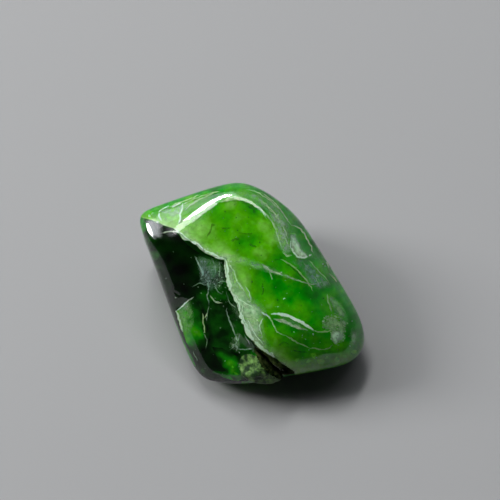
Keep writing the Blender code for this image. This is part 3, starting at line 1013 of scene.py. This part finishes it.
WHITE_LINES = [
    (1.4, 0.02, (159, 213), (158.5, 216), (160, 219), (161.5, 221)),
    (1.0, 0.02, (158, 212), (163, 209), (168, 206)),
    (1.2, 0.03, (172, 207), (177, 205), (181, 203)),
    (1.8, 0.03, (183, 203), (181.5, 209), (180, 214), (180, 220), (178, 224)),
    (1.2, 0.03, (174, 210), (178, 213), (181, 216)),
    (1.8, 0.03, (176, 311), (178, 316), (180, 322), (181.5, 327), (183, 332)),
    (1.3, 0.03, (176, 311), (180, 308), (184, 304), (189, 300), (194, 297)),
    # This row paints the bright highlight along the upper rim of the lens-shaped chip.
    (2.8, 0.03, (271, 314), (278, 314), (285, 315), (291, 317), (297, 320), (303, 323), (309, 327),
        (314, 331)),
    (1.0, 0.03, (290, 241), (291, 247), (293, 252), (297, 256)),
    (1.8, 0.03, (292, 251), (297, 256), (302, 258), (308, 256)),
    (1.2, 0.05, (309, 256), (312, 254)),
    (0.9, 0.05, (240, 283), (243, 289), (245, 295), (249, 302), (253, 307), (257, 312)),
    (0.9, 0.05, (241, 303), (246, 303), (250, 305)),
    (1.1, 0.05, (252, 310), (255, 316), (258, 322), (256, 327)),
    (1.3, 0.04, (255, 309), (261, 312), (267, 315), (271, 319)),
    (1.2, 0.02, (232, 292), (238, 299), (245, 303), (253, 308)),
    (1.0, 0.02, (245, 286), (249, 292), (251, 301)),
    (1.0, 0.02, (243, 305), (241, 313), (244, 322)),
    (1.3, 0.02, (247, 318), (251, 328), (257, 338), (264, 345)),
    (0.9, 0.02, (229, 263), (234, 272), (237, 282), (244, 290)),
    (0.9, 0.02, (263, 318), (259, 326), (262, 336)),
]
LEAF_LINES = [
    (0.7, 0.05, (258, 199), (266, 205), (274, 213), (280, 222)),
    (0.8, 0.05, (262, 200), (270, 208), (278, 217), (284, 228), (288, 238)),
    (0.9, 0.05, (268, 215), (272, 222), (276, 231), (279, 240), (282, 249)),
    (0.7, 0.05, (281, 232), (286, 240), (290, 249)),
    (1.6, 0.05, (274, 217), (277, 215), (279, 214)),
    (0.7, 0.05, (303, 262), (310, 270), (316, 278), (320, 286)),
    (0.7, 0.05, (309, 260), (316, 268), (324, 276), (330, 284)),
    (0.8, 0.05, (317, 273), (318, 276), (318, 279)),
    (0.9, 0.05, (326, 262), (327, 265), (329, 268)),
    (0.7, 0.05, (210, 296), (213, 300), (217, 303), (222, 303)),
    (0.7, 0.05, (195, 221), (202, 213), (210, 206), (218, 200)),
    (0.7, 0.05, (246, 189), (256, 192), (265, 197), (273, 203), (280, 210)),
    (0.8, 0.05, (180, 206), (190, 201), (200, 197), (211, 193)),
    # The next two rows paint the pale arc reflected along the crown's upper right shoulder.
    (2.8, 0.05, (221, 202), (228, 199.5), (236, 198), (244, 199.5), (252, 203), (259, 208)),
    (1.3, 0.08, (259, 208), (266, 214), (272, 221), (277, 229)),
    (1.3, 0.05, (184, 211), (189, 206), (195, 202), (201, 198.5), (207, 196), (213, 193), (220, 191)),
    (0.9, 0.05, (170, 207), (176, 203.5), (183, 201.5), (192, 198), (200, 194.5)),
    # The next two rows paint thin highlights along the upper right rim and round the flake.
    (0.9, 0.06, (262, 193), (268, 197), (275, 203), (281, 210), (286, 218), (291, 225)),
    (1.0, 0.05, (291, 225), (297, 226.5), (301, 229), (305, 234), (309, 240), (312.5, 247),
        (314, 254)),
    (1.2, 0.10, (280, 259), (287, 262), (294, 267), (300, 273), (306, 280), (310, 285), (313, 291)),
    (1.5, 0.06, (283, 253), (287, 255.5), (292, 255.5)),
    (1.2, 0.08, (327, 294), (327.5, 299), (329, 304), (332, 312)),
    (1.3, 0.06, (329, 273), (333, 277), (337, 282)),
    (1.1, 0.06, (314, 331), (319, 332), (326, 331.5), (331, 331)),
    (1.1, 0.06, (267, 316), (271, 320), (274, 326), (277, 332), (281, 334), (286, 336)),
    (1.2, 0.06, (286, 336), (290, 338), (294, 341), (298, 343), (304, 345), (309, 348)),
    (1.3, 0.06, (309, 348), (318, 349), (324, 349), (329, 348.5), (333, 345)),
    (1.1, 0.05, (203, 313), (202.5, 319), (204, 327), (205, 333)),
    (0.9, 0.05, (207, 313), (205, 318)),
]
MURKY_LINES = [
    (0.9, 0.03, (227, 308), (226, 311), (228, 317), (230, 323), (233, 329), (235, 334), (236, 338)),
    (1.0, 0.03, (236, 335), (237, 340), (235, 345), (237, 349), (236, 352)),
    (0.7, 0.03, (240, 334), (238, 340), (234, 346), (230, 350)),
    (0.6, 0.03, (237, 350), (244, 351), (252, 349)),
    (0.7, 0.03, (195, 256), (198, 263), (200, 270), (201, 276)),
    (0.7, 0.03, (192, 287), (197, 284), (200, 283), (206, 285)),
    (0.6, 0.03, (207, 281), (208, 288), (207, 296), (209, 305)),
    (0.5, 0.03, (214, 287), (218, 292), (223, 294)),
    (0.5, 0.03, (213, 301), (219, 302)),
    (0.6, 0.03, (209, 306), (207, 314), (206, 321)),
    (0.5, 0.03, (219, 262), (220, 270), (219, 277)),
    (0.5, 0.03, (212, 258), (215, 266), (216, 274)),
    (0.6, 0.03, (226, 292), (228, 299), (232, 305), (236, 308)),
    (0.5, 0.03, (217, 283), (222, 281), (226, 282)),
    (0.5, 0.03, (244, 335), (247, 339), (250, 345)),
    (0.5, 0.03, (193, 351), (195, 356), (198, 361)),
    (0.5, 0.03, (204, 333), (207, 340), (206, 348)),
]
SILVER_LINES = [
    (1.8, 0.05, (262, 264), (267, 268), (271, 271), (277, 273), (283, 275)),
    (1.1, 0.05, (283, 275), (289, 277), (296, 280), (303, 282), (310, 284), (319, 284)),
    (0.8, 0.05, (270, 271), (271, 275), (272, 280)),
    # This row paints the same rim highlight of the lens-shaped chip in silver.
    (2.4, 0.08, (273, 319), (283, 321), (292, 325), (300, 328), (308, 330)),
    # This row paints the pale reflection arc on the dark facet beside the tip.
    (1.2, 0.05, (161, 233), (168, 231.5), (176, 231.5), (181, 233)),
]
SILVER_PATCH = [
    (330, 331), (336, 330), (342, 332), (343, 339), (339, 343), (335, 345), (331, 341),
]
END_CLOUD = [
    (321, 325), (325, 316), (335, 313), (343, 319), (346, 329), (346, 339), (338, 346), (331, 341),
    (331, 333), (325, 330),
]
CRACK_GRID_VEIL = [
    (198, 277), (207, 279), (217, 277), (225, 277), (226, 285), (216, 284), (208, 286), (199, 284),
]
CROSSING_VEIL = [
    (229, 345), (233, 337), (238, 332), (242, 336), (240, 343), (240, 351), (235, 352),
]
NOTCH_VEIL = [
    (198, 255), (212, 259), (222, 262), (225, 276), (222, 290), (208, 292), (199, 280), (196, 266),
]
BREAK_SHADE_VEIL = [
    (223, 284), (228, 292), (233, 301), (239, 305), (241, 316), (243, 328), (236, 320), (231, 308),
    (226, 297),
]
# These white splinters are painted glints: sparkles off the tip and off small inner cracks.
SPARKLES = [
    (168.5, 206, 1.8, 0.02), (149, 216, 3.6, 0.02), (157.5, 222, 3.2, 0.02), (281.5, 272.5, 2.0, 0.03),
    (320.5, 282.5, 2.0, 0.03), (326, 282, 1.6, 0.03), (317, 276, 1.6, 0.03), (314, 284, 1.4, 0.04),
    (323.5, 321, 3.6, 0.02), (341, 332, 2.6, 0.03), (345, 331, 2.0, 0.03), (342, 335, 1.8, 0.03),
    (327, 320, 1.6, 0.03), (330, 318, 1.4, 0.04), (294, 332, 2.0, 0.06), (303, 336, 2.0, 0.06),
    (306, 340, 1.6, 0.06), (314, 335, 2.4, 0.06), (320.5, 343, 1.8, 0.06), (309, 350, 1.8, 0.06),
    (258, 314, 1.7, 0.03), (262, 312, 1.6, 0.03), (266, 315, 1.8, 0.03), (293, 250, 2.6, 0.03),
    (310, 255, 2.0, 0.03), (232, 338, 1.6, 0.04), (233, 345, 2.0, 0.04), (239, 353, 1.6, 0.04),
    (204.5, 332, 1.8, 0.04), (225, 361, 2.0, 0.10), (316.5, 357.5, 1.8, 0.03), (350, 346, 1.8, 0.05),
    (293.5, 249, 5.2, 0.02), (297, 253, 5.8, 0.02), (301, 255, 5.0, 0.02), (306, 256, 3.6, 0.02),
    (334, 335, 4.4, 0.02), (338.5, 333.5, 3.4, 0.02), (336, 340, 3.8, 0.02), (340.5, 338, 2.6, 0.02),
    (332, 339, 2.4, 0.02), (352, 321, 1.6, 0.05), (323, 264, 2.0, 0.08), (325, 266, 1.6, 0.06),
]
# Rings that are strewn with specks.
PALE_STRIP = [
    (190, 241), (203, 249), (225, 258), (229, 284), (240, 310), (252, 338), (272, 355), (266, 342),
    (258, 326), (258, 310), (246, 294), (236, 276), (231, 258), (212, 251),
]
CRACK_GRID = [
    (194, 256), (212, 259), (224, 263), (227, 290), (232, 306), (222, 308), (206, 300), (196, 290),
    (198, 272),
]
INNER_PART = [
    (190, 226), (206, 208), (232, 200), (256, 208), (276, 236), (292, 262), (330, 292), (352, 320),
    (348, 350), (310, 362), (276, 348), (264, 322), (254, 290), (236, 258), (204, 236),
]
LEAF_SPOTS = [
    (314, 356, 8.0, 0.05), (321, 362, 11.0, 0.05), (308, 361, 7.0, 0.05), (327, 358, 5.0, 0.05),
    (337, 360, 9.0, 0.05), (345, 356, 6.0, 0.05), (354, 352, 7.0, 0.05), (297, 360, 6.0, 0.05),
    (233, 367, 4.0, 0.30), (236, 374, 5.0, 0.30), (225, 360, 4.0, 0.45),
]

# Steps that spread strewn specks and their sizes evenly.
STREWN_STEPS = (0.7549, 0.5698)
STREWN_SIZES = 0.618


def scattered(ring, count, size, depth, seed):
    """Rows for so many flakes spread evenly inside a ring."""
    ring = np.array(ring, float)
    low, wide = ring.min(0), ring.max(0) - ring.min(0)
    spots = low + wide * (np.outer(np.arange(4 * count) + seed, STREWN_STEPS) % 1.0)
    spots = spots[are_inside(spots, ring)][:count]
    return [(x, y, size * (0.6 + (k * STREWN_SIZES) % 1.0), depth) for k, (x, y) in enumerate(spots)]


sheet("main_break", BREAK + RIM, MAIN_KNOTS, BODY, step=2.4, rough=0.30, seed=1.0)
# The dark side's sheet is mostly painted shade under the dark facet.
sheet("dark_side", DARK_SIDE, DARK_SIDE_KNOTS, DARK, step=2.2, rough=0.35, seed=30.0, lie=0.90)
sheet("break_haze", BREAK[4:] + PALE_SIDE, 0.0, MIST, seed=2.0, soft=PALE_SIDE, fade=13.0, lie=0.035)
sheet("tip_bloom", TIP_BLOOM, 0.0, BLOOM, seed=3.0)
sheet("rim_bloom", RIM_BLOOM, 0.0, BLOOM, seed=4.0)
sheet("flake_side_veil", FLAKE_SIDE_VEIL, 0.0, BLOOM, seed=12.0, fade=3.0)
sheet("cross_veil", CROSS_VEIL, 0.0, BLOOM, seed=13.0, fade=2.5)
sheet("lens_veil", LENS_VEIL, 0.0, BLOOM, seed=14.0, fade=3.0)
sheet("painted_highlight_halo", HIGHLIGHT_HALO, 0.05, BLOOM, seed=5.0, soft=HIGHLIGHT_HALO_EDGE, fade=12.0)
sheet("flake_veil", FLAKE_VEIL, 0.1, HAZE, seed=6.0)
sheet("teal_band", TEAL_BAND, 0.05, TEAL, seed=7.0)
sheet("end_veil", END_VEIL, 0.05, VEIL, seed=8.0)
sheet("end_veil_low", END_VEIL_LOW, 0.05, VEIL, seed=9.0)
sheet("left_patch", LEFT_PATCH, LEFT_PATCH_KNOTS, GLOW, step=2.2, seed=10.0, rough=0.3, lie=0.40)
sheet("light_pipe", LIGHT_PIPE, LIGHT_PIPE_KNOTS, GLOW, step=2.2, seed=11.0, rough=0.2, lie=0.40)
sheet("patch_veil", PATCH_VEIL, 0.1, BLOOM, seed=35.0, fade=3.0)
ribbons("break_line", BREAK_LINE, WHITE, seed=20.0)
flakes("edge_notch_shade", EDGE_NOTCH_SHADE, SHADE, seed=31.0)
ribbons("shade_lines", SHADE_LINES, GREEN_SHADE, seed=32.0)
ribbons("white_lines", WHITE_LINES, WHITE, seed=21.0)
ribbons("leaf_lines", LEAF_LINES, LEAF, seed=22.0)
ribbons("murky_lines", MURKY_LINES, MURK, seed=33.0)
ribbons("silver_lines", SILVER_LINES, SILVER, seed=23.0)
sheet("silver_patch", SILVER_PATCH, 0.0, HAZE, seed=24.0, fade=2.0)
sheet("silver_cloud", END_CLOUD, 0.1, VEIL, seed=25.0)
sheet("crack_grid_veil", CRACK_GRID_VEIL, 0.1, TEAL, seed=27.0)
sheet("crossing_veil", CROSSING_VEIL, 0.1, BLOOM, seed=34.0, fade=1.5)
sheet("notch_veil", NOTCH_VEIL, 0.1, TEAL, seed=29.0)
sheet("break_shade_veil", BREAK_SHADE_VEIL, 0.1, TEAL, seed=28.0)
flakes("sparkles", SPARKLES, WHITE, seed=26.0)
flakes("leaf_spots", LEAF_SPOTS, SPOT, seed=44.0)
flakes("end_frost", scattered(END_CLOUD, 90, 1.9, 0.02, 53), SILVER, seed=46.0)
flakes("strip_frost", scattered(PALE_STRIP, 150, 2.0, 0.012, 31), WHITE, seed=45.0)
flakes("dark_specks", scattered(INNER_PART, 90, 1.5, 0.02, 5), SPECK, seed=41.0)
flakes("light_specks", scattered(INNER_PART, 60, 1.1, 0.02, 77), LEAF, seed=42.0)
flakes("grid_specks", scattered(CRACK_GRID, 34, 1.3, 0.02, 61), MURK, seed=47.0)
flakes("side_specks", scattered(DARK_SIDE, 26, 0.9, 0.03, 19), MURK, seed=43.0)
skin_part("knob_crust", on_knob & ~grown(in_crevice, faces, 2), 0.03, 0.03, CRUST)
# Near-black cap over the crevice: painted shade in the recess.
skin_part("crevice_shade_cap", grown(in_crevice, faces, 3), 0.015, 0.01, CREVICE_SHADE)

INNER_CELLS = 84
INNER_PLANES = 34
INNER_DEPTH = (0.16, 1.15)
# The planes cut in this deep at least, and up to so much deeper.
PLANE_DEPTH = (0.40, 0.95)
PLANE_SWAY = 9.0
# Waves in the breaks: their length, their rise and what they add to the look.
INNER_WAVE = (2.2, 0.12, 0.35)
CREASE_WIDTH = 0.05
CREASE_LOOK = 0.5
SHALLOWEST_LOOK = 0.15
# Under the seen sheets the breaks lie deeper, within a few pixels of their edge.
UNDER_SHEETS = 1.20
SEEN_FADE = 4.0
SEEN_LEAN = 0.15
LEAST_LEAN = 0.35
# Near the rim they all come to one depth, across so many pixels.
VERGE_DEPTH = 0.55
VERGE_WIDTH = 14.0
# Where the outline of the dark side leaves the broken edge for the girdle.
GIRDLE_PART = DARK_SIDE[:16:-1]


def plane_distances(net, body):
    """Distances along rays to the flat breaks, from the nearest to the farthest."""
    lows = []
    for k in range(INNER_PLANES):
        tall = 1.0 - 2.0 * (k + 0.5) / INNER_PLANES
        sway = PLANE_SWAY * noise.noise(Vector((k * 1.7, 0.3, 0.0)))
        way = outward(math.degrees(k * GOLDEN_TURN) + sway, 0.0)
        way = way * math.sqrt(1.0 - tall * tall) + np.array([0.0, 0.0, tall])
        share = (k * PLASTIC_STEP + 0.2) % 1.0
        offset = (body @ way).max() - PLANE_DEPTH[0] - PLANE_DEPTH[1] * share
        lean = net @ way
        lows.append(np.where(lean > 0.1, offset / np.maximum(lean, 0.1), 99.0))
    return np.sort(np.array(lows), axis=0)


def inner_break():
    """Flat breaks that meet at creases under the skin, all round the stone."""
    net, cells = patch_rays(INNER_CELLS)
    outer, _, open_cut = stone_reach(net)
    body = net * outer[:, None]
    lows = plane_distances(net, body)
    length, rise, tint = INNER_WAVE
    waves = np.array([noise.fractal(Vector(p) / length, *STONE_WAVE_SHAPE) for p in body])
    inner = np.clip(lows[0] + rise * waves, outer - INNER_DEPTH[1], outer - INNER_DEPTH[0])
    ring = RIM + GIRDLE_PART
    places = frame_places(body)
    within = np.clip(to_line(places, ring + ring[:1]) / SEEN_FADE, 0.0, 1.0)
    normals = skin_normals(body)
    seen = np.where(are_inside(places, ring), within, 0.0)
    seen *= np.clip((normals @ BACK) / SEEN_LEAN, 0.0, 1.0)
    steep = np.maximum((normals * net).sum(1), LEAST_LEAN)
    verge = np.exp(-((to_line(places, RIM) / VERGE_WIDTH) ** 2)) * (1.0 - seen)
    inner += (outer - VERGE_DEPTH - inner) * verge
    inner = np.minimum(inner, outer - seen * UNDER_SHEETS / steep)
    inner[grown(open_cut, cells, 2)] = np.nan
    crease = np.exp(-(((lows[1] - lows[0]) / CREASE_WIDTH) ** 2)) * (1.0 - seen) * (1.0 - verge)
    look = (outer - inner - SHALLOW) / PER_LOOK + tint * waves - CREASE_LOOK * crease
    marks = {"deep": np.clip(look, SHALLOWEST_LOOK, DEEPEST_LOOK), "thin_out": np.ones(len(net))}
    return add_mesh("inner_break", net * inner[:, None], cells, BODY, marks)


inner_break()

# Veils on the hidden sides: bearing and rise, radii in millimetres, and turn.
SIDE_VEILS = [
    ("veil_back", 70, -8, (3.0, 1.5), 10),
    ("veil_back_small", 46, -18, (1.6, 1.0), 40),
    ("veil_front", 322, -14, (2.6, 1.2), -10),
    ("veil_left", 228, -14, (2.8, 1.1), 5),
    ("veil_tip", 160, -6, (2.0, 1.1), -20),
]
for count, row in enumerate(SIDE_VEILS):
    oval_veil(*row, seed=40.0 + count)

# The floor is a pale plain plate, and the stone's foot is this far above it, in metres.
FLOOR_HALF = 0.35
FLOOR_GAP = 0.00003
FLOOR_GREY = (0.225, 0.225, 0.225, 1.0)


def add_floor():
    mat, _, shader = principled("floor", 0.9)
    shader.inputs["Base Color"].default_value = FLOOR_GREY
    signs = [(-1, -1), (1, -1), (1, 1), (-1, 1)]
    mesh = bpy.data.meshes.new("floor")
    corners = [(x * FLOOR_HALF, y * FLOOR_HALF, -FLOOR_GAP) for x, y in signs]
    mesh.from_pydata(corners, [], [(0, 1, 2, 3)])
    mesh.materials.append(mat)
    add_object("floor", mesh)


STONE_MIDDLE = 0.004
DAYLIGHT = (0.93, 0.97, 1.0)
WHITE_LIGHT = (1.0, 1.0, 1.0)


def area_light(name, start, end, width, distance, glow, colour, shape="RECTANGLE"):
    """Soft light between two directions (heading, lean) from the stone."""
    first, last = outward(*start), outward(*end)
    rows = axes_on(first + last, last - first)
    lamp = bpy.data.lights.new(name, "AREA")
    lamp.shape = shape
    lamp.size = np.linalg.norm(last - first) * distance
    lamp.size_y = width
    lamp.energy = glow * math.pi * lamp.size * lamp.size_y
    lamp.color = colour
    place = rows[2] * distance + np.array([0.0, 0.0, STONE_MIDDLE])
    turned = Matrix(rows.T.tolist()).to_4x4()
    add_object(name, lamp).matrix_world = Matrix.Translation(place.tolist()) @ turned


add_floor()
area_light("band", (168, 67), (125, 52), 0.036, 0.35, 37.0, WHITE_LIGHT)
area_light("band_glow", (174, 70), (150, 68), 0.085, 0.36, 4.6, WHITE_LIGHT, "ELLIPSE")
area_light("tip_core", (190, 31), (211, 31), 0.14, 0.35, 24.0, WHITE_LIGHT, "ELLIPSE")
area_light("sky_box", (175, 46), (115, 46), 0.13, 0.36, 1.9, DAYLIGHT)
area_light("arc_strip", (122, 58), (60, 62), 0.065, 0.36, 4.5, DAYLIGHT)

# The sky is pale on the far side, low down, and nearly dark on the camera's own side.
SKY_COLOUR = (0.92, 0.95, 1.0, 1.0)
SKY_HEADING = 124.0
SKY_DARK, SKY_PALE = 0.03, 0.54
SKY_OVERHEAD = 0.45
# Glows round the lamps: heading, rise, spread in degrees and strength.
SKY_GLOWS = [
    (158, 67, 9, 2.4), (144, 64, 10, 2.4), (128, 56, 10, 2.4), (200, 32, 20, 4.0), (186, 47, 16, 6.0),
]


def toward(tree, heading, rise):
    """How far a way in the sky leans towards a direction."""
    lean = tree.nodes.new("ShaderNodeVectorMath")
    lean.operation = "DOT_PRODUCT"
    lean.inputs[1].default_value = outward(heading, rise)
    tree.links.new(add_node(tree, "TexCoord").outputs["Generated"], lean.inputs[0])
    return lean.outputs["Value"]


def add_sky():
    world = bpy.data.worlds.new("studio")
    world.use_nodes = True
    tree = world.node_tree
    side = mapped(tree, toward(tree, SKY_HEADING, 0.0), -0.05, 0.65, SKY_DARK, SKY_PALE, "SMOOTHSTEP")
    height = mapped(tree, toward(tree, 0.0, 90.0), 0.08, 0.42, 1.0, SKY_OVERHEAD, "SMOOTHSTEP")
    light = combined(tree, "MULTIPLY", side, height)
    for heading, rise, spread, glow in SKY_GLOWS:
        edge = math.cos(math.radians(spread))
        lobe = mapped(tree, toward(tree, heading, rise), edge, 1.0, 0.0, glow, "SMOOTHSTEP")
        light = combined(tree, "ADD", light, lobe)
    feed(tree.nodes["Background"], Color=SKY_COLOUR, Strength=light)
    bpy.context.scene.world = world


def add_camera():
    camera = bpy.data.cameras.new("camera")
    camera.lens = LENS
    camera.sensor_width = SENSOR
    camera.clip_start = 0.001
    eye = add_object("camera", camera)
    eye.location = Vector((HEART + EYE) * MM)
    way = Vector((HEART + AIM) * MM) - eye.location
    eye.rotation_euler = way.to_track_quat("-Z", "Y").to_euler()
    bpy.context.scene.camera = eye


add_sky()
add_camera()

scene = bpy.context.scene
scene.view_settings.view_transform = "Standard"
scene.cycles.max_bounces = 16
scene.cycles.transmission_bounces = 16
scene.cycles.diffuse_bounces = 6
scene.cycles.glossy_bounces = 8
